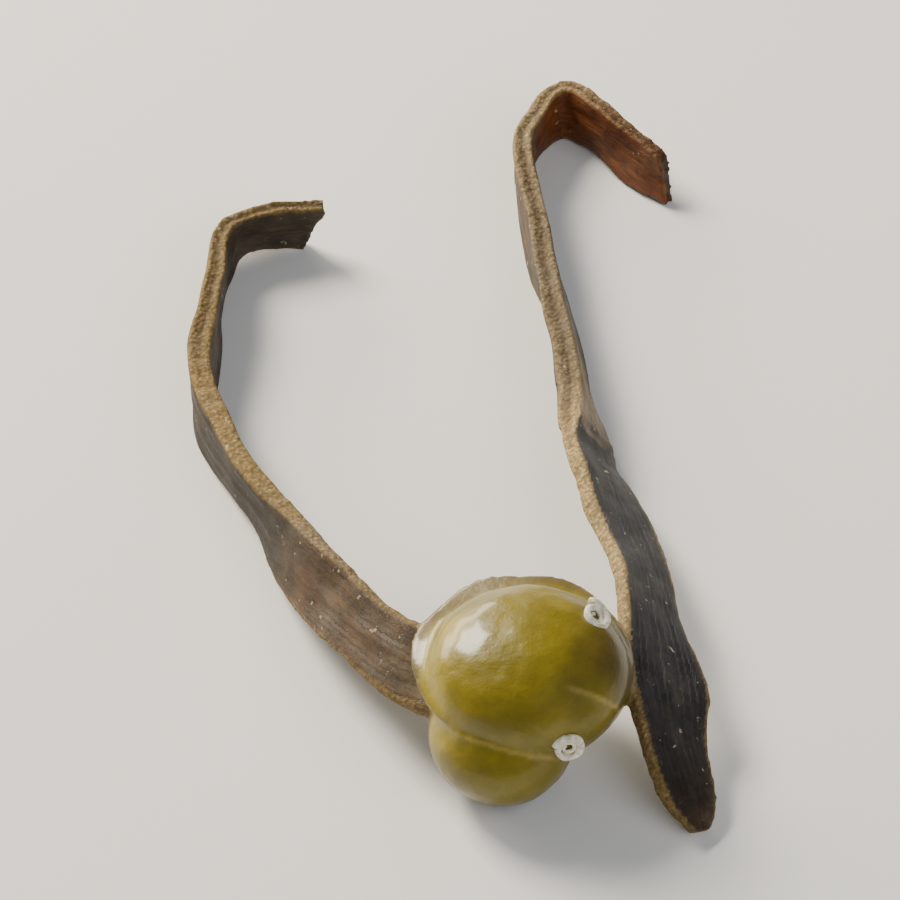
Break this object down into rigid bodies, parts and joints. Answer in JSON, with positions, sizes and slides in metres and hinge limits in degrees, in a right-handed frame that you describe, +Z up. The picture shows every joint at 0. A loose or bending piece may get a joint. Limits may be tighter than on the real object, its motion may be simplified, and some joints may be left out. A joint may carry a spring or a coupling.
{
  "type": "dried bladderwrack piece",
  "caption": "Dried strap of bladderwrack frond, twisted and hooked at its ends, with a round air bladder in its fork and tiny coiled worm tubes on the bladder.",
  "frame": {"origin": "on the surface that the piece lies on, under the middle of its bounding box", "axes": "+Y runs from the bladder and the fork at the front towards the hooked ends of the arms, +X to the right, +Z up"},
  "size_m": [0.0216, 0.0418, 0.0068],
  "materials": {
    "frond_skin": "dried seaweed skin, glossy olive on the bladder, satin brown to charcoal on the straps"
  },
  "bodies": {
    "root": {"bladderwrack_frond": "frond_skin"}
  },
  "joints": []
}
